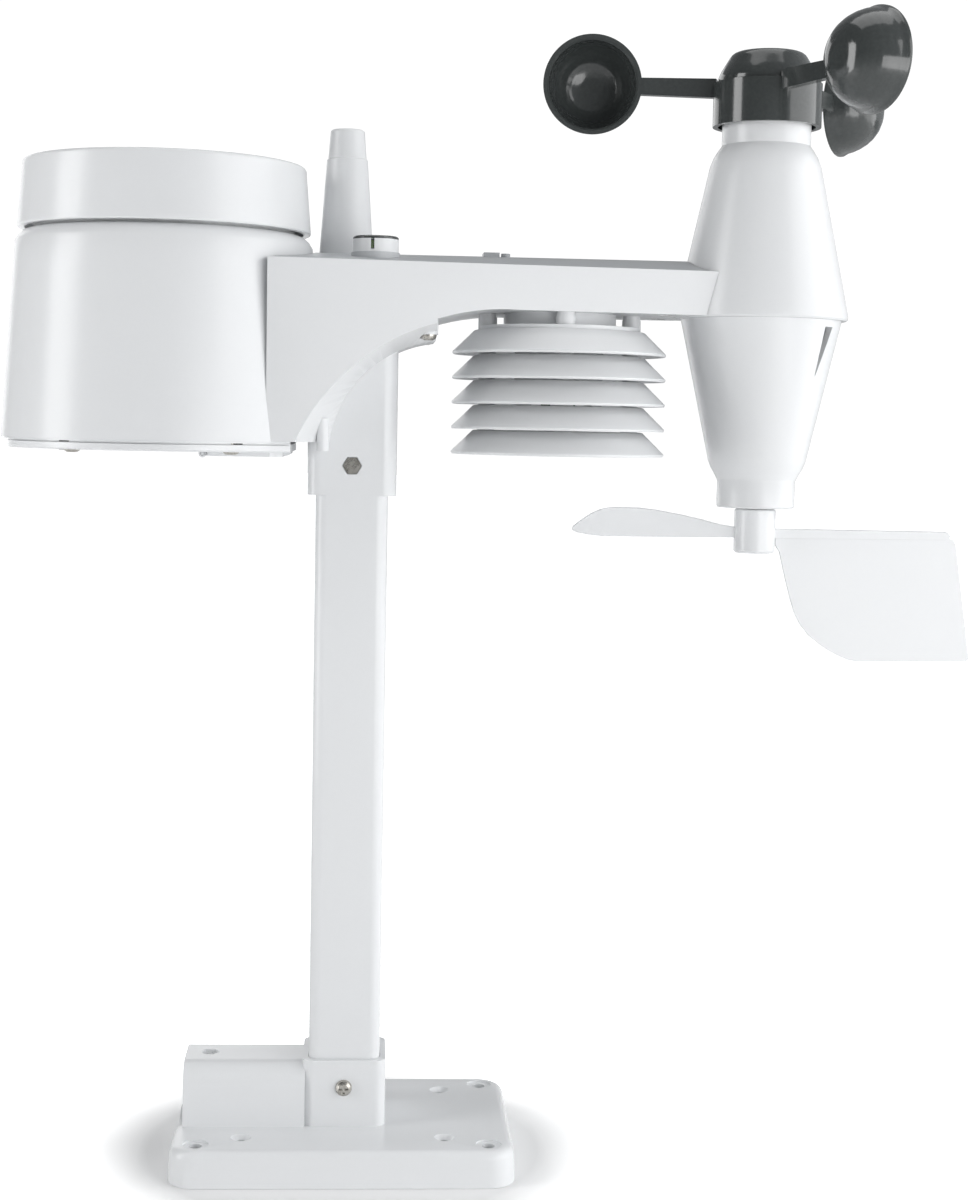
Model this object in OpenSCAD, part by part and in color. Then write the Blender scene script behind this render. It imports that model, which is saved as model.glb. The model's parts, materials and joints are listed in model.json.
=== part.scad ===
// Five-sensor home weather station on a square pole: rain gauge, arm, sun shield,
// cup anemometer and wind vane, standing on a bolt-down base.
// Millimetres. Origin: centre of the base plate's underside. X runs along the arm
// towards the wind sensors, -Y is the front, Z is up.

/* [Base and pole] */
// Length of the base plate along X
base_l = 120; // [110:1:130]
// Width of the base plate along Y
base_w = 83; // [78:1:90]
// Height of the base plate's rim
base_t = 12.5; // [11:0.5:14]
// Corner radius of the base plate
base_r = 10; // [6:1:14]
// Height of the upright pole socket's rim
socket_z = 36.3; // [32:0.1:40]
// Spacing of the corner bolt holes along X
bolt_x = 101; // [96:0.5:103]
// Spacing of the corner bolt holes along Y
bolt_y = 64.6; // [60:0.2:66]
// Radius of the corner bolt holes
bolt_r = 2.25; // [1.5:0.05:2.75]
// Spacing of the inner clamp holes along X
clamp_x = 70.8; // [68:0.2:74]
// Spacing of the inner clamp holes along Y
clamp_y = 51.3; // [48:0.1:54]
// Side of the square pole
pole_w = 25.2; // [24.8:0.1:25.3]
// Wall of the square pole
pole_wall = 2; // [1.2:0.1:3]
// Top of the pole inside the housing
pole_top = 262; // [255:1:264]

/* [Rain gauge] */
// Distance from the pole to the gauge's axis
gauge_d = 65.7; // [64:0.1:68]
// Outer radius of the gauge at its foot
gauge_r = 55.65; // [54:0.05:57]
// Outer radius of the gauge under its shoulder
gauge_top_r = 50.9; // [50:0.1:52]
// Wall of the moulded housing
wall = 2.2; // [1.8:0.1:2.6]
// Outer radius of the collector at its rim
collector_r = 48.5; // [47.5:0.1:49.5]
// Height of the collector's rim
collector_z = 348; // [344:1:352]
// Height of the tipping bucket's pivot
pivot_z = 272; // [270:0.5:274]
// Swing of the tipping bucket to each side of level, in degrees
tip = 18; // [14:1:20]

/* [Arm] */
// Height of the arm's underside
arm_z = 299.7; // [298:0.1:302]
// Height of the arm's front edge
arm_top = 314.7; // [312:0.1:318]
// Height of the ridge along the arm
ridge_z = 319.4; // [316:0.1:322]
// Half-width of the arm at the gauge
arm_wide = 40; // [36:0.5:42]
// Half-width of the arm at the wind tower
arm_slim = 20.5; // [18:0.5:24]

/* [Sun shield] */
// Distance from the pole to the shield's axis
shield_d = 71.9; // [68:0.1:76]
// Outer radius of a louvre
louvre_r = 37.5; // [34:0.5:40]
// Height from one louvre to the next
louvre_step = 8.7; // [8:0.1:9.5]
// Height of the lower edge of the top louvre
louvre_z = 285.5; // [284:0.5:287]

/* [Wind sensors] */
// Distance from the pole to the wind axis
wind_d = 143.1; // [140:0.1:146]
// Radius of the upper cone at its rim
tower_r = 30.35; // [29:0.05:32]
// Distance from the wind axis to a cup's centre
cup_arm = 61.1; // [56:0.1:66]
// Radius of a cup's mouth
cup_r = 17.35; // [15:0.05:19]
// Depth of a cup
cup_depth = 16; // [13:0.1:18]
// Direction of the first cup, in degrees from X
cup_turn = 57; // [0:0.1:119]

/* [Hidden] */
$fn = 64;
e = 0.01;
fit = 0.15;                               // side clearance of a sliding fit
white = [0.93, 0.94, 0.95];
pale = [0.80, 0.82, 0.83];
roof_grey = [0.66, 0.68, 0.69];
dark = [0.24, 0.26, 0.26];
black = [0.08, 0.08, 0.09];
steel = [0.72, 0.72, 0.74];
brass = [0.78, 0.64, 0.34];
green = [0.16, 0.42, 0.24];
glass = [0.86, 0.92, 0.90];

gauge_x = -gauge_d;
pole_r = 4.2;                             // corner radius of the pole
pole_z = base_t + 2;                      // underside of the pole in its socket
socket_w = pole_w + 2 * fit;              // clear square inside the sockets
post_w = 29.4;                            // outside of the upright socket
collar_w = 30.8;                          // outside of the housing's collar
collar_z = 235.7;                         // lower end of the collar
saddle_w = 30.2;                          // outside of the lying socket
saddle_z = 35;                            // top of the lying socket
low_bolt_z = 26.6;                        // screw through base and pole
high_bolt_z = 246;                        // screw through collar and pole
screw_r = 1.5;
screw_hole = 1.65;
snug_hole = 1.52;

floor_z = 250.4;                          // underside of the gauge floor
floor_t = 2.5;
floor_top = floor_z + floor_t;
gauge_z = 254;                            // lower rim of the gauge wall
gauge_h = 320.4;                          // top of the gauge's cone
part_x = -22.5;                           // gauge chamber ends here, beside the pole
floor_x = -20.8;                          // gauge floor ends here
neck_r = 44.6;
neck_z = 335;
floor_screw_at = 49;
floor_screw_turn = [58, 122, 238, 302];
drain_y = 31;

outer_arch = [52, 221.8, 78];             // x, z and radius of the arch at the arm's faces
inner_arch = [33, 248.1, 41.4];           // the same at the collar
outer_arch_y = 38;
inner_arch_y = 15.5;
arm_start = -28.5;                        // flat end of the arm beside the gauge
arm_end = 122;
arm_slope = (arm_wide - arm_slim) / (arm_end + 28.6);
lid_z = 312.9;                            // ledge that the arm cover rests on
lid_gap = 0.15;
cover_screw_at = [[25.4, 22], [25.4, -22], [108, 13], [108, -13]];
shield_screw_at = [[25.3, 0], [-25.3, 0], [0, 22.5], [0, -22.5]];
antenna_at = [-3.3, 11.5];
level_at = [7, -22];
antenna_z = 319.6;
level_z = 318;

tower_top = 368;
tube_top = 370.4;
rotor_z = 366.3;                          // lower edge of the cup wheel's skirt
rotor_plate = 381.2;                      // top of the cup wheel's body
cup_z = 380.8;
cup_lag = 3.9;                            // a cup's mouth trails the radius through its centre
vane_z = 217.3;
vane_top = 232.9;
vane_pin_z = 226;

tray_x = -36.75;
tray_w = 19;
tray_l = 52;
cell_gap = 16.2;
hinge_x = -50.6;
hinge_z = 249.4;
button_x = -98;
button_y = 6;

// half-width of the arm at a distance x from the pole
function arm_half(x) = arm_wide - arm_slope * (x + 28.6);
// outer radius of the gauge wall at height z
function gauge_at(z) = gauge_r + (gauge_top_r - gauge_r) * (z - gauge_z) / (gauge_h - gauge_z);
// points of a circular arc
function arc(cx, cy, r, a0, a1, n) =
    [for (i = [0:n]) let (a = a0 + (a1 - a0) * i / n) [cx + r * cos(a), cy + r * sin(a)]];

// ---- shapes that repeat ----

module rod(r, z0, z1) {
    translate([0, 0, z0]) cylinder(r = r, h = z1 - z0);
}

module tube(ro, ri, z0, z1) {
    difference() {
        rod(ro, z0, z1);
        rod(ri, z0 - 1, z1 + 1);
    }
}

module cone(r0, r1, z0, z1) {
    translate([0, 0, z0]) cylinder(r1 = r0, r2 = r1, h = z1 - z0);
}

module box(x0, x1, y0, y1, z0, z1) {
    translate([x0, y0, z0]) cube([x1 - x0, y1 - y0, z1 - z0]);
}

// flat rectangle with round corners
module round_rect(l, w, r) {
    square([l - 2 * r, w], center = true);
    square([l, w - 2 * r], center = true);
    for (x = [-1, 1], y = [-1, 1]) translate([x * (l / 2 - r), y * (w / 2 - r)]) circle(r);
}

module round_box(l, w, r, z0, z1) {
    translate([0, 0, z0]) linear_extrude(z1 - z0) round_rect(l, w, r);
}

module four(dx, dy) {
    for (x = [-1, 1], y = [-1, 1]) translate([x * dx / 2, y * dy / 2, 0]) children();
}

// plate that stands in the X-Z plane, centred on y = 0
module upright(t) {
    rotate([90, 0, 0]) linear_extrude(t, center = true) children();
}

// pan-head screw, head below z = 0 and shank above it
module pan_screw(len, head = 2.9, r = screw_r) {
    difference() {
        union() {
            rotate_extrude() polygon([[0, -1.9], [head - 1.2, -1.9], [head - 0.3, -1.3],
                                      [head, -0.5], [head, 0], [0, 0]]);
            rod(r, -0.5, len);
        }
        for (a = [0, 90]) rotate([0, 0, a]) translate([0, 0, -1.6]) cube([3.4, 0.8, 1.2], center = true);
    }
}

module hex_nut(t, af = 5.5) {
    difference() {
        cylinder(d = af / cos(30), h = t, $fn = 6);
        translate([0, 0, -1]) cylinder(r = screw_r + e, h = t + 2);
    }
}

// small ball bearing
module bearing(z) {
    tube(4, 2.9, z, z + 4);
    tube(2.3, screw_r + e, z, z + 4);
    tube(2.91, 2.29, z + 1, z + 3);
}

// ---- base and pole ----

module base_corner() {
    f = 3.2;
    rotate_extrude() polygon(concat([[0, 0], [base_r, 0]],
        arc(base_r - 0.6 - f, base_t - f, f, 0, 90, 5), [[0, base_t]]));
}

module mount_base() {
    skirt = 2.5;
    skin = 3;
    color(white) difference() {
        union() {
            difference() {
                hull() four(base_l - 2 * base_r, base_w - 2 * base_r) base_corner($fn = 48);
                difference() {
                    round_box(base_l - 2 * skirt, base_w - 2 * skirt, base_r - skirt, -1, base_t - skin);
                    four(bolt_x, bolt_y) rod(6.2, -2, base_t);
                    four(clamp_x, clamp_y) rod(4.6, -2, base_t);
                    for (y = [-9, 9]) box(-base_l / 2, base_l / 2, y - 1, y + 1, -2, base_t);
                    for (x = [-30, 0, 30]) box(x - 1, x + 1, -base_w / 2, base_w / 2, -2, base_t);
                }
            }
            round_box(post_w, post_w, pole_r, base_t - skin, socket_z);
            translate([-56.5, 0, 0]) rotate([90, 0, 90]) linear_extrude(56.5 - post_w / 2 + 1) {
                translate([-saddle_w / 2, base_t - skin]) square([saddle_w, saddle_z - 7.5 - base_t + skin]);
                translate([-saddle_w / 2 + 7.5, base_t]) square([saddle_w - 15, saddle_z - base_t]);
                for (y = [-1, 1]) translate([y * (saddle_w / 2 - 7.5), saddle_z - 7.5]) circle(7.5);
            }
        }
        round_box(socket_w, socket_w, pole_r + fit, pole_z, socket_z + 1);
        translate([-61, 0, 33 - socket_w / 2]) rotate([90, 0, 90])
            linear_extrude(61 - post_w / 2 - 2) round_rect(socket_w, socket_w, pole_r + fit);
        translate([0, 0, low_bolt_z]) rotate([90, 0, 0]) cylinder(r = screw_hole, h = 60, center = true);
        translate([-48, 0, 30]) rod(screw_hole, 0, 10);
        translate([-48, 0, saddle_z - 1]) cylinder(d = 5.8 / cos(30), h = 3, $fn = 6);
        four(bolt_x, bolt_y) {
            rod(bolt_r, -1, base_t + 1);
            rod(4.5, base_t - 0.7, base_t + 1);
        }
        four(clamp_x, clamp_y) {
            rod(2, -1, base_t + 1);
            cone(2, 3.6, base_t - 1.6, base_t + e);
        }
    }
}

module pole() {
    color(white) difference() {
        round_box(pole_w, pole_w, pole_r, pole_z, pole_top);
        round_box(pole_w - 2 * pole_wall, pole_w - 2 * pole_wall, pole_r - pole_wall, 0, pole_top + 1);
        for (z = [low_bolt_z, high_bolt_z])
            translate([0, 0, z]) rotate([90, 0, 0]) cylinder(r = screw_hole, h = 40, center = true);
    }
}

module pole_screws() {
    color(steel) {
        translate([0, -post_w / 2, low_bolt_z]) rotate([-90, 0, 0]) pan_screw(35);
        translate([0, collar_w / 2, high_bolt_z]) rotate([90, 0, 0]) pan_screw(30.4);
    }
}

module pole_nuts() {
    color(steel) {
        translate([0, post_w / 2, low_bolt_z]) rotate([-90, 0, 0]) hex_nut(2.4);
        translate([0, -collar_w / 2 + 1.8, high_bolt_z]) rotate([90, 0, 0]) hex_nut(1.8);
    }
}

// ---- housing: gauge, arm and collar ----

module gauge_body() {
    translate([gauge_x, 0, 0]) rotate_extrude($fn = 96) polygon([
        [0, gauge_z], [gauge_r, gauge_z], [gauge_top_r, gauge_h], [gauge_top_r - 1.2, 322.4],
        [gauge_top_r - 3, 323.9], [gauge_top_r - 4.4, 324.5], [neck_r, 324.5], [neck_r, neck_z], [0, neck_z]]);
}

module gauge_chamber() {
    intersection() {
        translate([gauge_x, 0, 0]) rotate_extrude($fn = 96) polygon([
            [0, gauge_z - 1], [gauge_at(gauge_z - 1) - wall, gauge_z - 1],
            [gauge_at(318.5) - wall, 318.5], [neck_r - wall, 322.3], [neck_r - wall, neck_z + 1], [0, neck_z + 1]]);
        union() {
            box(-140, part_x, -60, 60, 240, 320);
            translate([gauge_x, 0, 0]) rod(neck_r - wall, 315, 340);
        }
    }
}

// wedge that the arm is cut from, seen from above; inset narrows it
module arm_plan(inset = 0) {
    x0 = arm_start + inset;
    polygon([[x0, -arm_half(x0) + inset], [135, -arm_half(135) + inset],
             [135, arm_half(135) - inset], [x0, arm_half(x0) - inset]]);
}

module arch_disc(a, y, grow) {
    translate([a[0], y, a[1]]) rotate([90, 0, 0]) cylinder(r = a[2] + grow, h = 0.02, center = true, $fn = 96);
}

// the air under the arm: a round arch whose edge slopes in towards the collar
module arch_space(grow = 0) {
    for (s = [-1, 1]) {
        hull() {
            arch_disc(outer_arch, s * outer_arch_y, grow);
            arch_disc(inner_arch, s * inner_arch_y, grow);
        }
        translate([outer_arch[0], s * (outer_arch_y + 10), outer_arch[1]])
            rotate([90, 0, 0]) cylinder(r = outer_arch[2] + grow, h = 20.01, center = true);
    }
    translate([inner_arch[0], 0, inner_arch[1]]) rotate([90, 0, 0])
        cylinder(r = inner_arch[2] + grow, h = 2 * inner_arch_y + 0.02, center = true);
    intersection() {
        translate([outer_arch[0], 0, outer_arch[1]]) rotate([90, 0, 0])
            cylinder(r = outer_arch[2] + grow, h = 120, center = true);
        box(28 - grow, 140, -60, 60, 200, 320);
    }
    box(52, 140, -60, 60, 230, arm_z + grow);
}

module tower_space(gap) {
    r = tower_r + gap;
    translate([wind_d, 0, 0]) rotate_extrude($fn = 96)
        polygon([[0, 290], [r, 290], [r, 301], [r - 5.1, 325], [0, 325]]);
}

module main_housing() {
    color(white) difference() {
        union() {
            difference() {
                union() {
                    gauge_body();
                    translate([0, 0, gauge_z]) linear_extrude(arm_top - gauge_z) arm_plan();
                }
                arch_space();
            }
            round_box(collar_w, collar_w, 5, collar_z, 290);
            for (p = cover_screw_at) if (p[0] < 60) translate(p) rod(3.2, 291, 298);
            for (y = [-24, 24]) translate([-10, y, 0]) rod(2, 251, 262);
            for (a = [0, 120, 240]) translate([gauge_x, 0, 331.5]) rotate([0, 0, a])
                intersection() {
                    tube(46.3, neck_r - 1, -1, 1);
                    rotate([0, 0, -12]) translate([40, -10, -2]) cube([10, 20, 4]);
                }
        }
        difference() {
            gauge_chamber();
            for (a = floor_screw_turn) translate([gauge_x, 0, 0]) rotate([0, 0, a])
                translate([floor_screw_at, 0, 0]) rod(4.3, gauge_z, 268);
        }
        for (a = floor_screw_turn) translate([gauge_x, 0, 0]) rotate([0, 0, a])
            translate([floor_screw_at, 0, 0]) rod(snug_hole, gauge_z - 1, 266);
        arm_cavity();
        round_box(socket_w, socket_w, pole_r + fit, collar_z - 1, pole_top + 0.4);
        round_box(socket_w - 4, socket_w - 4, 2.2, pole_top - 1, 291);
        translate([0, 0, high_bolt_z]) rotate([90, 0, 0]) cylinder(r = screw_hole, h = 60, center = true);
        translate([0, -collar_w / 2 + 1.8, high_bolt_z]) rotate([90, 0, 0])
            cylinder(d = 5.9 / cos(30), h = 5, $fn = 6);
        for (p = cover_screw_at) translate(p) {
            rod(screw_hole, 285, 310);
            if (p[0] > 60) rod(3.1, arm_z - 1, arm_z + 2);
            else rod(2.95, 285, 291);
        }
        for (p = shield_screw_at) translate([shield_d + p[0], p[1], 0]) rod(snug_hole, arm_z - 1, 305.2);
        for (z = [306]) translate([-30, 0, z]) rotate([0, 90, 0]) cylinder(r = 4, h = 20);
        translate([shield_d, 0, 0]) rod(4, arm_z - 1, 303);
        // flat seat where the arch is lower than the shield's post
        translate([shield_d + shield_screw_at[1][0], 0, 0]) rod(3.5, 295, arm_z);
        tower_space(0.12);
    }
}

// hollow of the arm above the arch, less the pillars that stand in it
module arm_cavity() {
    difference() {
        union() {
            translate([0, 0, gauge_z]) linear_extrude(lid_z - gauge_z) arm_plan(wall + 1.2);
            translate([0, 0, lid_z - e]) linear_extrude(10) arm_plan(wall);
        }
        arch_space(wall);
        intersection() {
            gauge_body();
            box(-140, part_x + 2.5, -60, 60, 240, 330);
        }
        box(-60, 60, -60, 60, 240, 266);
        intersection() {
            gauge_body();
            box(-60, 0, -60, 60, arm_top, 330);
        }
        round_box(collar_w, collar_w, 5, collar_z, 290);
        for (p = cover_screw_at) translate(p) rod(p[0] > 60 ? 5 : 4.2, 285, p[0] > 60 ? 304 : 302);
        for (p = shield_screw_at) translate([shield_d + p[0], p[1], 0]) rod(3.3, arm_z, 306);
        for (x = [36, 90], y = [-12, 12]) translate([x, y, 0]) rod(2.4, 290, 308);
    }
}

module gauge_floor() {
    color(white) difference() {
        union() {
            intersection() {
                translate([gauge_x, 0, 0]) {
                    rotate_extrude($fn = 96) polygon([[0, floor_z], [53, floor_z], [53.5, floor_z + 0.5],
                        [53.5, 252.7], [52.4, 252.7], [52.4, 253.3], [54.6, 253.3], [54.6, gauge_z],
                        [51.6, gauge_z], [51.6, floor_top], [0, floor_top]]);
                    tube(53, 51.4, floor_top, 257);
                }
                union() {
                    box(-140, floor_x, -60, 60, 240, gauge_z);
                    box(-140, part_x - 0.3, -60, 60, 240, 260);
                }
            }
            // posts of the button board
            for (y = [-12.5, 12.5]) translate([button_x, y, 0]) rod(1.8, floor_top - e, 258);
            // hinge lugs of the battery door
            for (s = [-1, 1]) translate([hinge_x, s * 21.5, hinge_z]) rotate([90, 0, 0]) {
                cylinder(r = 1.3, h = 2.2, center = true);
                translate([0, 0.8, 0]) cube([2.4, 1.6, 2.2], center = true);
            }
        }
        for (a = floor_screw_turn) translate([gauge_x, 0, 0]) rotate([0, 0, a]) translate([floor_screw_at, 0, 0]) {
            rod(screw_hole, 240, 260);
            rod(4.5, floor_top, 262);
            rod(3.1, 240, floor_z + 1);
        }
        box(tray_x - tray_w / 2 + 1.4, tray_x + tray_w / 2 - 1.4, -tray_l / 2 + 1.4, tray_l / 2 - 1.4, 245, 255);
        for (y = [-drain_y, drain_y]) translate([gauge_x, y, 0]) {
            rod(4.5, 245, 255);
            cone(4.5, 6.4, floor_top - 1.2, floor_top + e);
        }
        translate([button_x, -button_y, 0]) rod(3.4, 245, 255);
        translate([button_x, button_y, 0]) rod(2.3, 245, 255);
        translate([hinge_x, 0, hinge_z]) rotate([90, 0, 0]) cylinder(r = 0.75, h = 60, center = true);
        box(hinge_x - 1.4, hinge_x + 1.4, -20.4, 20.4, 245, hinge_z + 1.5);
    }
}

module floor_screws() {
    color(steel) for (a = floor_screw_turn) translate([gauge_x, 0, floor_z + 1]) rotate([0, 0, a])
        translate([floor_screw_at, 0, 0]) pan_screw(13);
}

// everything below a plane through the origin that falls towards s * Y at the given angle
module below(s, angle) {
    rotate([-s * angle, 0, 0]) box(-300, 300, -200, 200, -60, 0);
}

// low roof over the arm: two slopes a side, from a level ridge to a level edge
module roof(inset, drop) {
    half0 = arm_half(-40) - wall - lid_gap - inset;
    half1 = arm_half(135) - wall - lid_gap - inset;
    eave = arm_top + 0.2;
    rise = ridge_z - eave;
    intersection() {
        translate([0, 0, lid_z - (drop > 0 ? 2 : 0)]) linear_extrude(10) arm_plan(wall + lid_gap + inset);
        translate([0, 0, ridge_z - drop]) below(1, atan(rise / half0));
        translate([0, 0, ridge_z - drop]) below(-1, atan(rise / half0));
        translate([-40, half0, eave - drop]) rotate([0, 0, -atan(arm_slope)])
            below(1, atan(rise / (half1 * cos(atan(arm_slope)))));
        translate([-40, -half0, eave - drop]) rotate([0, 0, atan(arm_slope)])
            below(-1, atan(rise / (half1 * cos(atan(arm_slope)))));
    }
}

module arm_cover() {
    color(roof_grey) difference() {
        union() {
            difference() {
                roof(0, 0);
                roof(1.6, 1.8);
            }
            translate(antenna_at) rod(10, lid_z + 0.4, antenna_z);
            translate(level_at) rod(8.2, lid_z + 0.4, level_z);
            for (p = cover_screw_at) translate(p) rod(3, p[0] > 60 ? 306.2 : 302.1, 315.6);
            // latch at the middle of the ridge
            box(44.5, 50, -5, 5, 317.6, ridge_z + 1.1);
            translate([52.4, 0, 0]) rod(1.6, 317.8, ridge_z + 1.1);
        }
        translate(antenna_at) rod(4.6, 300, 325);
        for (p = cover_screw_at) translate(p) rod(snug_hole, 300, 313.7);
        translate([gauge_x, 0, 0]) rod(gauge_at(arm_top) + 0.4, 300, 330);
        tower_space(0.3);
    }
}

module cover_screws() {
    color(steel) for (p = cover_screw_at)
        translate([p[0], p[1], p[0] > 60 ? arm_z + 2 : 291]) pan_screw(p[0] > 60 ? 11 : 18, 2.7);
}

module antenna_sleeve() {
    color(pale) translate(antenna_at) difference() {
        union() {
            rotate_extrude() polygon(concat([[0, antenna_z], [9.5, antenna_z], [7.2, 352.6], [6.75, 353],
                [6.05, 362.1]], arc(5.05, 362.1, 1, 0, 90, 4), [[0, 363.1]]));
            rod(4.5, 313.5, antenna_z + 1);
        }
        rod(1.2, 312, 352);
    }
}

module antenna_wire() {
    color(brass) translate(antenna_at) rod(0.8, 310, 351.98);
}

module level_cup() {
    color(pale) translate(level_at) difference() {
        rod(7.75, level_z, 322.4);
        rod(6.3, level_z + 1.2, 323);
        box(-1.6, -0.5, -9, -5, level_z + 0.8, 323);
    }
}

module level_vial() {
    color(glass) translate(level_at) difference() {
        rod(6.2, level_z + 1.2, 322.6);
        rod(5.4, level_z, 321.9);
    }
}

module level_liquid() {
    color(green) translate(level_at) difference() {
        rod(5.38, level_z + 1.22, 321.88);
        translate([0.5, 0.3, 0]) rod(1.6, 321.2, 323);
    }
}

module level_ring() {
    color(dark) translate(level_at) rotate_extrude()
        polygon([[6.3, 322.4], [7.75, 322.4], [7.75, 323], [7.3, 323.4], [6.3, 323.4]]);
}

// ---- wind tower and lower cone ----

module wind_tower() {
    color(white) difference() {
        union() {
            translate([wind_d, 0, 0]) {
                difference() {
                    rotate_extrude($fn = 96) polygon(concat([[0, 299.3], [tower_r - 0.6, 299.3], [tower_r, 299.9],
                        [tower_r, 301], [19.45, 352.3], [18.2, 355.6], [16.7, 358], [15.5, 359.7],
                        [15.5, tower_top], [0, tower_top]]));
                    rotate_extrude($fn = 96) polygon([[0, 299], [27, 299], [27, 302.5], [27.4, 303.5],
                        [17.2, 351.6], [13.3, 359.5], [13.3, 365.8], [0, 365.8]]);
                }
                rod(5.6, 345, tube_top);
            }
            intersection() {
                box(101, wind_d - 20, -16.5, 16.5, 304.1, 306.1);
                union() {
                    box(101, 117, -16.5, 16.5, 300, 310);
                    tower_space(0);
                }
            }
        }
        translate([wind_d, 0, 0]) {
            rod(2.1, 340, 375);
            rod(4.02, 366, 375);
            rod(4.02, 340, 350);
            box(-40, -15, -8, 8, 307, 311.5);
        }
        for (p = cover_screw_at) if (p[0] > 60) translate(p) rod(screw_hole, 300, 310);
    }
}

module lower_cone() {
    color(white) translate([wind_d, 0, 0]) difference() {
        union() {
            difference() {
                rotate_extrude($fn = 96) polygon([[0, 233.4], [13.3, 233.4], [13.8, 233.9], [13.8, 243],
                    [14.7, 244.8], [16.2, 247.4], [17.2, 250], [28.15, 299.28], [26.8, 299.28], [26.8, 304], [0, 304]]);
                rotate_extrude($fn = 96) polygon([[0, 235.4], [11.8, 235.4], [11.8, 243.6], [15.2, 250.6],
                    [25, 295], [25, 305], [0, 305]]);
            }
            rod(5.6, 233.4, 258.2);
            for (a = [0, 120, 240]) rotate([0, 0, a]) box(13.5, 20.5, -1.5, 1.5, 267, 270);
        }
        rod(2.1, 230, 265);
        rod(4.02, 230, 238);
        rod(4.02, 254, 260);
        // narrow air slot at the side
        rotate([0, 0, -42]) translate([15, 0, 0]) rotate([90, 0, 90]) linear_extrude(20)
            polygon([[-2.6, 296.8], [2.2, 296.8], [-2.2, 279.5], [-2.6, 280.5]]);
    }
}

module cup_bearings() {
    color(steel) translate([wind_d, 0, 0]) {
        bearing(366);
        bearing(346);
    }
}

module vane_bearings() {
    color(steel) translate([wind_d, 0, 0]) {
        bearing(234);
        bearing(254);
    }
}

module wind_board() {
    color(green) translate([wind_d, 0, 0]) {
        difference() {
            rod(18, 270, 271.6);
            rod(3, 269, 273);
        }
        box(4, 10, -3, 3, 271.6, 273.4);
        tube(6, 4.6, 268.4, 270);
    }
}

module speed_sensor() {
    color(green) translate([wind_d, 0, 0]) {
        tube(12.8, 5.9, 364.4, 365.8);
        box(8.6, 12, -1.5, 1.5, 362.6, 364.4);
    }
}

// ---- sun shield ----

module louvre(k) {
    z = louvre_z - (k - 1) * louvre_step;   // lower edge
    rise = 8.4;
    t = 1.7;
    ri = louvre_r - rise;
    difference() {
        union() {
            rotate_extrude($fn = 96) polygon([[0, z + rise - t], [ri - 0.4, z + rise - t], [louvre_r - t, z],
                [louvre_r - 0.3, z], [louvre_r, z + 0.4], [louvre_r, z + 0.9], [ri + 0.9, z + rise - 0.2],
                [ri + 0.3, z + rise], [0, z + rise]]);
            for (p = shield_screw_at) translate([p[0], p[1], 0])
                rod(3, z + rise - 1, k == 1 ? arm_z : z + rise + louvre_step - t);
            if (k == 1) {
                tube(19.7, 17.9, z + rise - 1, arm_z);
                rod(ri - 1, z + rise - 1, z + rise + 1.4);
                for (p = shield_screw_at) translate([p[0], p[1], 0]) rod(3.3, z + rise - 1, arm_z - 1.4);
            }
        }
        for (p = shield_screw_at) translate([p[0], p[1], 0]) rod(screw_hole, z - 5, arm_z + 5);
        if (k == 1) rod(5, z, arm_z);
        if (k > 1 && k < 5) rod(18.6, z - 5, z + 20);
    }
}

module shield_louvre(k) {
    color(pale) translate([shield_d, 0, 0]) louvre(k);
}

module louvre_1() { shield_louvre(1); }
module louvre_2() { shield_louvre(2); }
module louvre_3() { shield_louvre(3); }
module louvre_4() { shield_louvre(4); }
module louvre_5() { shield_louvre(5); }

module shield_screws() {
    z = louvre_z - 4 * louvre_step + 8.4 - 1.7;
    color(steel) translate([shield_d, 0, 0]) for (p = shield_screw_at)
        translate([p[0], p[1], z]) pan_screw(305 - z, 2.8);
}

module sensor_case() {
    top = louvre_z + 8.4 - 1.7;
    color(white) translate([shield_d, 0, 0]) difference() {
        union() {
            rod(15.5, 262, top);
            rod(17.5, top - 1.6, top);
        }
        rod(14, 263.4, top - 1.6);
        rod(4.5, 280, 300);
        for (z = [267, 273, 279], a = [0, 60, 120]) translate([0, 0, z]) rotate([0, 0, a])
            box(-20, 20, -4, 4, 0, 2.4);
    }
}

module sensor_board() {
    color(green) translate([shield_d, 0, 0]) {
        box(-6, 6, -0.6, 0.6, 263.4, 288);
        box(-2.5, 2.5, 0.6, 2.2, 267, 272);
    }
}

// ---- electronics ----

module main_board() {
    color(green) difference() {
        union() {
            box(32, 94, -15, 15, 308, 309.6);
            box(50, 62, -6, 6, 309.6, 311.2);
            box(74, 80, -10, -4, 309.6, 311.6);
        }
        for (x = [36, 90], y = [-12, 12]) translate([x, y, 0]) rod(1.2, 300, 312);
    }
}

module reed_switch() {
    color(glass) translate([gauge_x + 15.6, 0, pivot_z + 13]) rotate([90, 0, 0]) {
        cylinder(r = 1.15, h = 14, center = true);
        cylinder(r = 0.3, h = 20, center = true);
    }
}

module battery_tray() {
    color(black) difference() {
        translate([tray_x, 0, 0]) {
            difference() {
                round_box(tray_w, tray_l, 2, floor_top, 309.5);
                round_box(tray_w - 2.8, tray_l - 2.8, 1, floor_top - 1, 308.2);
            }
            for (y = [-8.1, 8.1]) difference() {
                box(-tray_w / 2 + 1, tray_w / 2 - 1, y - 1.4, y + 1.4, 262, 309);
                for (c = [-1:1]) translate([0, c * cell_gap, 0]) rod(7.35, 250, 308.2);
            }
        }
    }
}

module battery_cells() {
    color([0.25, 0.35, 0.55]) for (c = [-1:1]) translate([tray_x, c * cell_gap, 0]) {
        rod(7.25, 256, 305.3);
        rod(2.6, 305, 306.5);
    }
}

module battery_contacts() {
    color(steel) for (c = [-1:1]) translate([tray_x, c * cell_gap, 0]) {
        box(-4, 4, -5, 5, 307.4, 308.2);
        rod(2.2, 306.5, 307.5);
    }
}

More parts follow.
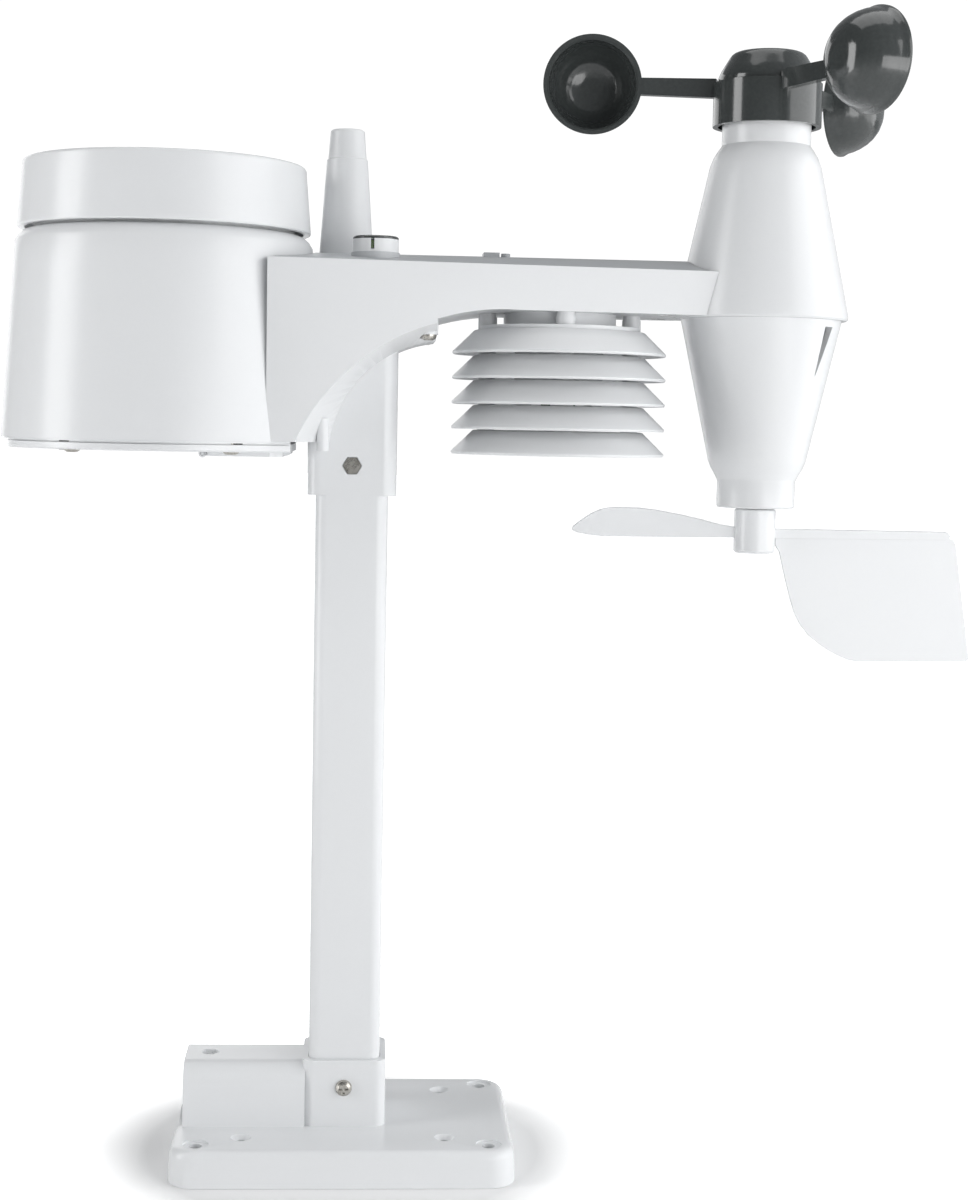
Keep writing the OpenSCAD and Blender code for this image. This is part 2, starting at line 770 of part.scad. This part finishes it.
module bucket_cradle() {
    color(pale) translate([gauge_x, 0, 0]) difference() {
        union() {
            box(-14.4, 14.4, -25, 25, floor_top, floor_top + 2);
            for (s = [-1, 1]) {
                difference() {
                    translate([s * 13.3, 0, 0]) rotate([90, 0, 90]) linear_extrude(2.2, center = true)
                        polygon([[-12, floor_top + 1], [12, floor_top + 1], [5, pivot_z + 4],
                                 [5, pivot_z + 11.5], [-5, pivot_z + 11.5], [-5, pivot_z + 4]]);
                }
                box(-7, 7, s * 22 - 1, s * 22 + 1, floor_top + 1, pivot_z - 3.3);
            }
            box(14, 17.4, -5, 5, pivot_z + 10.5, pivot_z + 11.85);
        }
        translate([0, 0, pivot_z]) rotate([0, 90, 0]) cylinder(r = 1.28, h = 40, center = true);
    }
}

module button_board() {
    color(green) {
        box(button_x - 5, button_x + 5, -15, 15, 258, 259.4);
        box(button_x - 3, button_x + 3, -button_y - 3, -button_y + 3, 254.65, 258);
    }
}

module status_lens() {
    color(glass) translate([button_x, button_y, 0]) {
        rod(2.2, floor_z - 0.4, 258);
        rod(3, floor_top, floor_top + 0.8);
    }
}

// ---- cup wheel ----

module rotor_body() {
    color(dark) translate([wind_d, 0, 0]) difference() {
        union() {
            difference() {
                rod(18.9, rotor_z, rotor_plate);
                rod(17, rotor_z - 1, rotor_plate - 2.2);
            }
            rod(4.2, 372.5, rotor_plate);
            for (a = [90, 270]) rotate([0, 0, a]) translate([10.5, 0, 0]) rod(3.5, 376, rotor_plate - 1);
            for (k = [0:2]) rotate([0, 0, cup_turn + 120 * k]) difference() {
                translate([0, -1.9 - cup_lag, 0]) upright(3.4)
                    polygon([[16.9, 377], [46.4, 377.6], [46.4, 383.4], [16.9, 383.6]]);
                translate([cup_arm, -cup_lag, cup_z]) rotate([-90, 0, 0]) cup_solid(e);
            }
        }
        rod(screw_r + e, 370, rotor_plate + 5);
        for (a = [90, 270]) rotate([0, 0, a]) translate([10.5, 0, 0]) rod(2.52, 375, rotor_plate - 2.2);
        translate([0, 0, rotor_plate]) tube(18.2 + e, 16.5, 0, 5);
    }
}

module rotor_cap() {
    color(dark) translate([wind_d, 0, 0]) difference() {
        rotate_extrude() polygon(concat([[0, rotor_plate], [17.4, rotor_plate], [17.3, 383.2], [16.3, 385.4],
            [13.9, 389.4]], arc(10.4, 388.4, 3.5, 30, 90, 4), [[5, 392.4], [0, 392.7]]));
        rotate_extrude() polygon([[0, rotor_plate - 1], [15.6, rotor_plate - 1], [15.5, 383], [14.5, 385],
            [12.2, 388.6], [10, 390], [0, 390.7]]);
    }
}

// outer shape of a cup, mouth at z = 0 and opening towards +Z
module cup_solid(grow = 0) {
    r = cup_r + grow;
    d = cup_depth + grow;
    rotate_extrude() polygon(concat([[0, 0], [r, 0], [r, -0.8]],
        [for (i = [1:9]) let (a = 10 * i) [(r - 0.7) * pow(cos(a), 0.72), -0.8 - (d - 0.8) * pow(sin(a), 1.25)]]));
}

module cup_hollow() {
    r = cup_r - 2;
    d = cup_depth - 1.3;
    rotate_extrude() polygon(concat([[0, 1], [r + 0.7, 1], [r + 0.7, 0], [r, -0.8]],
        [for (i = [1:9]) let (a = 10 * i) [r * pow(cos(a), 0.72), -0.8 - (d - 0.8) * pow(sin(a), 1.25)]]));
}

module wind_cup(k) {
    color(dark) translate([wind_d, 0, 0]) rotate([0, 0, cup_turn + 120 * k])
        translate([cup_arm, -cup_lag, cup_z]) rotate([-90, 0, 0]) difference() {
            cup_solid();
            cup_hollow();
        }
}

module wind_cup_1() { wind_cup(0); }
module wind_cup_2() { wind_cup(1); }
module wind_cup_3() { wind_cup(2); }

module rotor_shaft() {
    color(steel) translate([wind_d, 0, 0]) rod(screw_r, 344, 386);
}

module rotor_magnets() {
    color(steel) translate([wind_d, 0, 0]) for (a = [90, 270]) rotate([0, 0, a])
        translate([10.5, 0, 0]) rod(2.5, 376.4, rotor_plate - 2.2);
}

// ---- wind vane ----

module vane_hub() {
    color(white) translate([wind_d, 0, 0]) difference() {
        rotate_extrude() polygon([[0, vane_z], [6.6, vane_z], [7.35, vane_z + 0.8], [7.35, vane_top - 0.5],
            [6.9, vane_top], [0, vane_top]]);
        rod(screw_r + e, 222, 240);
        box(-9, -4.2, -0.92, 0.92, 222.6, 226.42);
        box(4.4, 9, -1.52, 1.52, 222.5, 226.02);
    }
}

module vane_pointer() {
    color(white) upright(1.8) polygon([
        [138.8, 226.4], [136.4, 226.4], [130.7, 227.3], [123.5, 229.1], [116.3, 230.6], [109, 231.9],
        [101.9, 232.7], [94.8, 232.8], [91, 232.6], [87.7, 231.9], [84.5, 230.4], [81.2, 228.2],
        [78.3, 225.9], [77.7, 225.1], [77.9, 224.3], [79.2, 223.6], [83, 222.9], [88, 222.4],
        [110, 222.4], [138.8, 222.65]]);
}

module vane_tail() {
    color(white) {
        upright(3) polygon([[147.6, 222.6], [212.5, 223], [213.8, 224.2], [212.5, 225.8], [147.6, 226]]);
        upright(1.7) polygon(concat(
            [[150.6, 223.4], [150.6, 220.2], [152.2, 217.7], [154.4, 208.9], [156.7, 200.6], [158.4, 195.6],
             [160.6, 191.6], [164, 187.6], [168.1, 184.5], [171.6, 182.2], [175.5, 180.3], [178.2, 179.3],
             [181, 178.9], [221, 179.45]],
            arc(221.1, 180.45, 1, -90, 8, 4), [[215.8, 221.2], [215, 222.9], [213.1, 223.7]]));
    }
}

module vane_shaft() {
    color(steel) translate([wind_d, 0, 0]) rod(screw_r, 222, 262);
}

module vane_magnet() {
    color(steel) translate([wind_d, 0, 0]) difference() {
        rod(3.5, 260.2, 264.2);
        rod(screw_r + e, 259, 262);
    }
}

// ---- parts inside the gauge that move ----

// the bucket is drawn level about its pin and stored tipped to one stop
module tipped() {
    translate([gauge_x, 0, pivot_z]) rotate([-tip, 0, 0]) children();
}

module tipping_bucket() {
    slope = tan(8);
    l = 28;
    color(white) tipped() difference() {
        union() {
            rotate([90, 0, 90]) linear_extrude(20, center = true)
                polygon([[-l, 2 + l * slope - 1.2], [0, 0.8], [l, 2 + l * slope - 1.2], [l, 2 + l * slope],
                         [0, 2], [-l, 2 + l * slope]]);
            for (s = [-1, 1]) translate([s * 9.4, 0, 0]) rotate([90, 0, 90]) linear_extrude(1.2, center = true)
                polygon([[-l, 2 + l * slope - 1.2], [0, 0.8], [l, 2 + l * slope - 1.2], [l, 10], [1.5, 20],
                         [-1.5, 20], [-l, 10]]);
            box(-9.5, 9.5, -0.6, 0.6, 1, 20);
            rotate([0, 90, 0]) cylinder(r = 2.4, h = 20, center = true);
        }
        rotate([0, 90, 0]) cylinder(r = 1.21, h = 30, center = true);
    }
}

module bucket_pin() {
    color(steel) tipped() rotate([0, 90, 0]) cylinder(r = 1.2, h = 29.4, center = true);
}

module bucket_magnet() {
    color(steel) tipped() translate([10, 0, 13]) rotate([0, 90, 0]) cylinder(r = 2, h = 1.6);
}

module rain_collector() {
    z0 = 325.1;
    rim = collector_z;
    color(white) translate([gauge_x, 0, 0]) {
        difference() {
            union() {
                rotate_extrude($fn = 96) polygon(concat(
                    [[47.6, z0], [49.8, z0], [50.2, z0 + 0.5]],
                    arc(collector_r - 1.4, rim - 1.4, 1.4, 4, 90, 5),
                    [[collector_r - 1.9, rim], [46, 343.4], [2.5, 309.4], [2.5, 297], [4.1, 297], [4.1, 308.4],
                     [43.4, 339.2], [43.4, 335.05], [44.4, 335.05], [44.4, 339.9], [46.6, 341.6]]));
                for (a = [60, 180, 300]) intersection() {
                    tube(48, 45, 327, 329);
                    rotate([0, 0, a - 10]) rotate_extrude(angle = 20) translate([30, 320]) square([30, 20]);
                }
            }
        }
    }
}

module reset_button() {
    color(black) translate([button_x, -button_y, 0]) {
        rod(3.15, floor_z - 0.8, 253.2);
        rod(4.4, floor_top + 0.05, 253.75);
    }
}

module battery_door() {
    color(white) {
        difference() {
            union() {
                box(hinge_x, -23.6, -26, 26, 248.7, 250.32);
                translate([hinge_x, 0, hinge_z]) rotate([90, 0, 0]) cylinder(r = 1, h = 40, center = true);
                // finger lip at the free end
                translate([-23.6, 0, 0]) rotate([90, 0, 0]) linear_extrude(16, center = true)
                    polygon([[-1, 248.7], [1.2, 249], [2.3, 249.7], [2.3, 250.32], [-1, 250.32]]);
            }
            for (s = [-1, 1]) box(hinge_x - 3, hinge_x + 1.9, s * 23.2 - 2.9, s * 23.2 + 2.9, 245, 252);
            // chamfered corners and edge beside the hinge
            for (s = [-1, 1]) translate([-23.6, s * 26, 240]) rotate([0, 0, 45]) cube([6, 6, 40], center = true);
        }
        translate([hinge_x, 0, hinge_z]) rotate([90, 0, 0]) cylinder(r = 0.65, h = 45, center = true);
    }
}

mount_base();
pole();
pole_screws();
pole_nuts();
main_housing();
gauge_floor();
floor_screws();
arm_cover();
cover_screws();
antenna_sleeve();
antenna_wire();
level_cup();
level_vial();
level_liquid();
level_ring();
wind_tower();
lower_cone();
cup_bearings();
vane_bearings();
wind_board();
speed_sensor();
louvre_1();
louvre_2();
louvre_3();
louvre_4();
louvre_5();
shield_screws();
sensor_case();
sensor_board();
main_board();
reed_switch();
battery_tray();
battery_cells();
battery_contacts();
bucket_cradle();
button_board();
status_lens();
rotor_body();
rotor_cap();
wind_cup_1();
wind_cup_2();
wind_cup_3();
rotor_shaft();
rotor_magnets();
vane_hub();
vane_pointer();
vane_tail();
vane_shaft();
vane_magnet();
tipping_bucket();
bucket_pin();
bucket_magnet();
rain_collector();
reset_button();
battery_door();
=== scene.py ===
"""Looks for the home weather station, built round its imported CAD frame."""

import json
import math

import bmesh
import bpy
from mathutils import Matrix, Vector


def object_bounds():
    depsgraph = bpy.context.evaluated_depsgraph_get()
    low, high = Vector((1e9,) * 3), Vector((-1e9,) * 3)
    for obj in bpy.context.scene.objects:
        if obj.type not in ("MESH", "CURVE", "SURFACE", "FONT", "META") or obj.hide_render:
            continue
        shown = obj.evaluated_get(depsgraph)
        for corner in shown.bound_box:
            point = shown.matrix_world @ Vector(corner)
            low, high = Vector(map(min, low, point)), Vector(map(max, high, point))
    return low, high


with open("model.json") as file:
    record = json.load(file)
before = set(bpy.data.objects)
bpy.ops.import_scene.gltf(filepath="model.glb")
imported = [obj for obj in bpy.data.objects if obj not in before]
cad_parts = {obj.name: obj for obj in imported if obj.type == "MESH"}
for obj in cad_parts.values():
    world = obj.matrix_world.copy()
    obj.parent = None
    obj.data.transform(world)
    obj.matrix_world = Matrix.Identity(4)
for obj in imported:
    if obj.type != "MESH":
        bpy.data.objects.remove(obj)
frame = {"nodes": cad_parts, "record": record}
cad_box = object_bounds()
nodes = frame["nodes"]
MM = 0.001

# the view: just above the middle, turned a little to the right (degrees, millimetres)
VIEW_YAW = 3.3
VIEW_PITCH = 4.98
VIEW_ROLL = 1.11
VIEW_PLACE = (5.36 * MM, -725.25 * MM, 262.3 * MM)
VIEW_LENS = 61.72

GRAIN = 900.0                   # moulded grain, cells per metre
PLASTIC_IOR = 1.49
FLOOR_GAP = 0.0001              # the floor lies this far under the base
PAINTED_SHADOW_INNER = 0.07             # painted light: the floor's glow starts at this distance from the middle, leaving a round painted shadow round the station
PAINTED_SHADOW_OUTER = 0.11             # and is full at this one
WELD_GAP = 0.005 * MM
SHARP_ANGLE = 30                # degrees: edges bent more than this stay sharp
EASE_ANGLE = 40                 # degrees: edges bent more than this are eased


# ---------------------------------------------------------------- camera

def place_camera():
    """Puts the camera at the photograph's view."""
    yaw = math.radians(VIEW_YAW)
    pitch = math.radians(VIEW_PITCH)
    roll = math.radians(VIEW_ROLL)
    forward = Vector((math.sin(yaw) * math.cos(pitch), math.cos(yaw) * math.cos(pitch), -math.sin(pitch)))
    level = Vector((math.cos(yaw), -math.sin(yaw), 0.0))
    upright = level.cross(forward)
    right = level * math.cos(roll) + upright * math.sin(roll)
    up = upright * math.cos(roll) - level * math.sin(roll)
    turn = Matrix((right, up, -forward)).transposed().to_4x4()
    data = bpy.data.cameras.new("camera")
    data.sensor_width = 36.0
    data.lens = VIEW_LENS
    data.clip_start = 0.02
    camera = bpy.data.objects.new("camera", data)
    camera.matrix_world = Matrix.Translation(VIEW_PLACE) @ turn
    bpy.context.scene.collection.objects.link(camera)
    bpy.context.scene.camera = camera


# ---------------------------------------------------------------- materials

def new_material(name):
    """A new node material, with its tree and its Principled shader."""
    material = bpy.data.materials.new(name)
    material.use_nodes = True
    tree = material.node_tree
    shader = tree.nodes["Principled BSDF"]
    return material, tree, shader


def noise(tree, place, scale, detail=3.0):
    """A 0 to 1 noise pattern with scale cells per metre."""
    node = tree.nodes.new("ShaderNodeTexNoise")
    node.inputs["Scale"].default_value = scale
    node.inputs["Detail"].default_value = detail
    node.inputs["Roughness"].default_value = 0.55
    tree.links.new(place, node.inputs["Vector"])
    return node.outputs["Fac"]


def spread(tree, value, low, high):
    """Maps a 0 to 1 pattern onto low to high."""
    node = tree.nodes.new("ShaderNodeMapRange")
    node.interpolation_type = "SMOOTHSTEP"
    node.inputs["From Min"].default_value = 0.2
    node.inputs["From Max"].default_value = 0.8
    node.inputs["To Min"].default_value = low
    node.inputs["To Max"].default_value = high
    tree.links.new(value, node.inputs["Value"])
    return node.outputs["Result"]


def two_tone(tree, value, first, second):
    """Maps a 0 to 1 pattern onto two colours."""
    node = tree.nodes.new("ShaderNodeValToRGB")
    node.color_ramp.interpolation = "EASE"
    node.color_ramp.elements[0].position = 0.15
    node.color_ramp.elements[0].color = (*first, 1.0)
    node.color_ramp.elements[1].position = 0.85
    node.color_ramp.elements[1].color = (*second, 1.0)
    tree.links.new(value, node.inputs["Fac"])
    return node.outputs["Color"]


def moulded(name, first, second, gloss, coat=0.0):
    """Moulded plastic: a fine grain in its tint and its polish."""
    material, tree, shader = new_material(name)
    place = tree.nodes.new("ShaderNodeTexCoord").outputs["Object"]
    tint = noise(tree, place, GRAIN, 2.0)
    tree.links.new(two_tone(tree, tint, first, second), shader.inputs["Base Color"])
    tree.links.new(spread(tree, tint, gloss[0], gloss[1]), shader.inputs["Roughness"])
    shader.inputs["IOR"].default_value = PLASTIC_IOR
    shader.inputs["Coat Weight"].default_value = coat
    shader.inputs["Coat Roughness"].default_value = 0.08
    return material


def turned_metal(name, first, second, rough):
    """Bright fastener metal: fine turning rings, a little tarnish."""
    material, tree, shader = new_material(name)
    place = tree.nodes.new("ShaderNodeTexCoord").outputs["Object"]
    stain = noise(tree, place, 420.0, 5.0)
    tree.links.new(two_tone(tree, stain, first, second), shader.inputs["Base Color"])
    tree.links.new(spread(tree, stain, rough - 0.06, rough + 0.08), shader.inputs["Roughness"])
    rings = tree.nodes.new("ShaderNodeTexWave")
    rings.wave_type = "RINGS"
    rings.inputs["Scale"].default_value = 900.0
    rings.inputs["Distortion"].default_value = 2.0
    tree.links.new(place, rings.inputs["Vector"])
    bump = tree.nodes.new("ShaderNodeBump")
    bump.inputs["Strength"].default_value = 0.25
    bump.inputs["Distance"].default_value = 0.00002
    tree.links.new(rings.outputs["Fac"], bump.inputs["Height"])
    tree.links.new(bump.outputs["Normal"], shader.inputs["Normal"])
    shader.inputs["Metallic"].default_value = 1.0
    return material


def circuit_board(name):
    """Solder mask with copper tracks showing through."""
    material, tree, shader = new_material(name)
    place = tree.nodes.new("ShaderNodeTexCoord").outputs["Object"]
    tracks = tree.nodes.new("ShaderNodeTexBrick")
    tracks.inputs["Scale"].default_value = 330.0
    tracks.inputs["Mortar Size"].default_value = 0.03
    tracks.inputs["Color1"].default_value = (0.02, 0.16, 0.06, 1.0)
    tracks.inputs["Color2"].default_value = (0.03, 0.20, 0.08, 1.0)
    tracks.inputs["Mortar"].default_value = (0.10, 0.36, 0.14, 1.0)
    tree.links.new(place, tracks.inputs["Vector"])
    tree.links.new(tracks.outputs["Color"], shader.inputs["Base Color"])
    tree.links.new(spread(tree, noise(tree, place, 300.0), 0.3, 0.45), shader.inputs["Roughness"])
    return material


def clear_plastic(name):
    """Clear moulded acrylic with faint haze."""
    material, tree, shader = new_material(name)
    place = tree.nodes.new("ShaderNodeTexCoord").outputs["Object"]
    haze = noise(tree, place, 380.0, 3.0)
    tree.links.new(two_tone(tree, haze, (0.90, 0.95, 0.94), (0.96, 0.98, 0.97)), shader.inputs["Base Color"])
    tree.links.new(spread(tree, haze, 0.04, 0.12), shader.inputs["Roughness"])
    shader.inputs["Transmission Weight"].default_value = 0.92
    shader.inputs["IOR"].default_value = PLASTIC_IOR
    return material


def make_materials():
    """One material for each material slot of the record."""
    return {
        "white_plastic": moulded("white_plastic", (0.788, 0.798, 0.809), (0.795, 0.805, 0.815),
                                 (0.255, 0.27)),
        "pale_plastic": moulded("pale_plastic", (0.782, 0.792, 0.802), (0.79, 0.80, 0.81),
                                (0.345, 0.365)),
        "roof_plastic": moulded("roof_plastic", (0.50, 0.515, 0.53), (0.53, 0.545, 0.56),
                                (0.34, 0.46)),
        "dark_plastic": moulded("dark_plastic", (0.044, 0.049, 0.049), (0.052, 0.058, 0.057),
                                (0.15, 0.19), coat=0.5),
        "black_plastic": moulded("black_plastic", (0.018, 0.018, 0.020), (0.026, 0.026, 0.028),
                                 (0.35, 0.5)),
        "steel": turned_metal("steel", (0.40, 0.38, 0.34), (0.62, 0.60, 0.56), 0.26),
        "brass": turned_metal("brass", (0.62, 0.46, 0.18), (0.74, 0.57, 0.26), 0.24),
        "board": circuit_board("board"),
        "clear_plastic": clear_plastic("clear_plastic"),
        "level_liquid": moulded("level_liquid", (0.28, 0.52, 0.08), (0.36, 0.62, 0.12),
                                (0.05, 0.10)),
        "cell_wrap": moulded("cell_wrap", (0.05, 0.09, 0.22), (0.07, 0.12, 0.28), (0.18, 0.30),
                             coat=0.4),
    }


# ---------------------------------------------------------------- stage

def soft_box(name, place, aim, size, power):
    """A white rectangular lamp at place, facing aim, with its power in watts."""
    data = bpy.data.lights.new(name, "AREA")
    data.shape = "RECTANGLE"
    data.size = size[0]
    data.size_y = size[1]
    data.energy = power
    lamp = bpy.data.objects.new(name, data)
    lamp.location = place
    lamp.rotation_euler = (Vector(aim) - Vector(place)).to_track_quat("-Z", "Y").to_euler()
    bpy.context.scene.collection.objects.link(lamp)


def build_world():
    """Soft light that is weaker on the left, and plain white where the camera looks past the station."""
    world = bpy.data.worlds.new("studio")
    world.use_nodes = True
    tree = world.node_tree
    back = tree.nodes["Background"]
    back.inputs["Color"].default_value = (0.95, 0.975, 1.0, 1.0)
    place = tree.nodes.new("ShaderNodeTexCoord").outputs["Generated"]
    split = tree.nodes.new("ShaderNodeSeparateXYZ")
    tree.links.new(place, split.inputs["Vector"])
    side = tree.nodes.new("ShaderNodeMapRange")
    side.inputs["From Min"].default_value = -1.0
    side.inputs["From Max"].default_value = 1.0
    side.inputs["To Min"].default_value = 0.05
    side.inputs["To Max"].default_value = 0.50
    tree.links.new(split.outputs["X"], side.inputs["Value"])
    tree.links.new(side.outputs["Result"], back.inputs["Strength"])
    seen = tree.nodes.new("ShaderNodeBackground")
    seen.inputs["Color"].default_value = (1.0, 1.0, 1.0, 1.0)
    seen.inputs["Strength"].default_value = 1.05
    path = tree.nodes.new("ShaderNodeLightPath")
    mix = tree.nodes.new("ShaderNodeMixShader")
    tree.links.new(path.outputs["Is Camera Ray"], mix.inputs["Fac"])
    tree.links.new(back.outputs["Background"], mix.inputs[1])
    tree.links.new(seen.outputs["Background"], mix.inputs[2])
    tree.links.new(mix.outputs["Shader"], tree.nodes["World Output"].inputs["Surface"])
    bpy.context.scene.world = world


def place_lamps():
    """Five soft boxes, the largest on the right."""
    soft_box("right", (1.25, -0.30, 0.50), (0.10, 0.0, 0.30), (1.7, 1.3), 13.5)
    soft_box("left", (-0.85, -0.24, 0.40), (-0.06, 0.0, 0.29), (0.35, 0.8), 4.3)
    soft_box("behind", (-0.40, 1.10, 0.45), (0.05, 0.0, 0.28), (0.8, 0.8), 2.5)
    soft_box("front", (0.50, -0.80, 0.12), (0.14, 0.0, 0.24), (0.5, 0.5), 2.9)
    soft_box("top", (0.05, 0.10, 1.60), (0.05, 0.0, 0.20), (1.2, 1.0), 5.0)


def build_floor():
    """A pale floor just under the base, which glows for the camera away from the station as painted light
    and leaves a round painted shadow near it.
    """
    mesh = bpy.data.meshes.new("floor")
    made = bmesh.new()
    bmesh.ops.create_grid(made, x_segments=8, y_segments=8, size=9.0)
    made.to_mesh(mesh)
    made.free()
    floor = bpy.data.objects.new("floor", mesh)
    floor.location = (0.0, 0.0, cad_box[0][2] - FLOOR_GAP)
    bpy.context.scene.collection.objects.link(floor)
    material, tree, shader = new_material("floor")
    place = tree.nodes.new("ShaderNodeTexCoord").outputs["Object"]
    tree.links.new(two_tone(tree, noise(tree, place, 3.0), (0.90, 0.90, 0.90), (0.92, 0.92, 0.92)),
                   shader.inputs["Base Color"])
    shader.inputs["Roughness"].default_value = 0.9
    shader.inputs["Specular IOR Level"].default_value = 0.1
    shader.inputs["Emission Color"].default_value = (1.0, 1.0, 1.0, 1.0)
    # painted light and shadow: the floor glows for the camera away from the station and not near it, so the
    # round darker patch round the base is partly cast shadow and partly painted shadow
    spot = tree.nodes.new("ShaderNodeVectorMath")
    spot.operation = "LENGTH"
    tree.links.new(place, spot.inputs[0])
    painted_glow_ramp = tree.nodes.new("ShaderNodeMapRange")
    painted_glow_ramp.inputs["From Min"].default_value = PAINTED_SHADOW_INNER
    painted_glow_ramp.inputs["From Max"].default_value = PAINTED_SHADOW_OUTER
    painted_glow_ramp.inputs["To Min"].default_value = 0.0
    painted_glow_ramp.inputs["To Max"].default_value = 1.0
    tree.links.new(spot.outputs["Value"], painted_glow_ramp.inputs["Value"])
    # the glow is for the eye only, it casts no light on the station
    glow = tree.nodes.new("ShaderNodeMath")
    glow.operation = "MULTIPLY"
    tree.links.new(painted_glow_ramp.outputs["Result"], glow.inputs[0])
    tree.links.new(tree.nodes.new("ShaderNodeLightPath").outputs["Is Camera Ray"], glow.inputs[1])
    tree.links.new(glow.outputs["Value"], shader.inputs["Emission Strength"])
    mesh.materials.append(material)


def plain_view():
    """Colours go to the picture as they are."""
    settings = bpy.context.scene.view_settings
    settings.view_transform = "Standard"
    settings.look = "None"
    settings.exposure = 0.0


# ---------------------------------------------------------------- frame nodes

def smoothing_group():
    """Joins the facets and shades them smooth, except where they meet at more than SHARP_ANGLE."""
    group = bpy.data.node_groups.new("soften", "GeometryNodeTree")
    group.interface.new_socket("Geometry", in_out="INPUT", socket_type="NodeSocketGeometry")
    group.interface.new_socket("Geometry", in_out="OUTPUT", socket_type="NodeSocketGeometry")
    start = group.nodes.new("NodeGroupInput")
    end = group.nodes.new("NodeGroupOutput")
    weld = group.nodes.new("GeometryNodeMergeByDistance")
    weld.inputs["Distance"].default_value = WELD_GAP
    plain = group.nodes.new("GeometryNodeRemoveAttribute")
    plain.inputs["Name"].default_value = "custom_normal"
    faces = group.nodes.new("GeometryNodeSetShadeSmooth")
    faces.domain = "FACE"
    edges = group.nodes.new("GeometryNodeSetShadeSmooth")
    edges.domain = "EDGE"
    edges.inputs["Shade Smooth"].default_value = False
    angle = group.nodes.new("GeometryNodeInputMeshEdgeAngle")
    sharp = group.nodes.new("FunctionNodeCompare")
    sharp.operation = "GREATER_THAN"
    sharp.inputs[1].default_value = math.radians(SHARP_ANGLE)
    group.links.new(start.outputs[0], weld.inputs["Geometry"])
    group.links.new(weld.outputs["Geometry"], plain.inputs["Geometry"])
    group.links.new(plain.outputs["Geometry"], faces.inputs["Geometry"])
    group.links.new(faces.outputs["Geometry"], edges.inputs["Geometry"])
    group.links.new(angle.outputs["Unsigned Angle"], sharp.inputs[0])
    group.links.new(sharp.outputs["Result"], edges.inputs["Selection"])
    group.links.new(edges.outputs["Geometry"], end.inputs[0])
    return group


def dress_nodes(materials):
    """Every CAD node gets its slot's material, smooth shading and, where it shows, eased edges."""
    # how far an edge is eased, in millimetres
    eased = {"rain_collector": 0.5, "wind_tower": 0.4, "lower_cone": 0.3, "rotor_body": 0.4,
             "rotor_cap": 0.5, "vane_tail": 0.5, "vane_pointer": 0.6, "vane_hub": 0.4, "arm_cover": 0.3,
             "main_housing": 0.3, "mount_base": 0.5, "level_cup": 0.3, "battery_door": 0.3}
    soften = smoothing_group()
    for part in frame["record"]["subparts"]:
        name = part["node"]
        node = nodes[name]
        node.data.materials.clear()
        node.data.materials.append(materials[part["material_slot"]])
        node.modifiers.new("soften", "NODES").node_group = soften
        if name in eased:
            ease = node.modifiers.new("ease_edges", "BEVEL")
            ease.width = eased[name] * MM
            ease.segments = 2
            ease.limit_method = "ANGLE"
            ease.angle_limit = math.radians(EASE_ANGLE)
            ease.harden_normals = True


place_camera()
build_world()
place_lamps()
build_floor()
plain_view()
dress_nodes(make_materials())
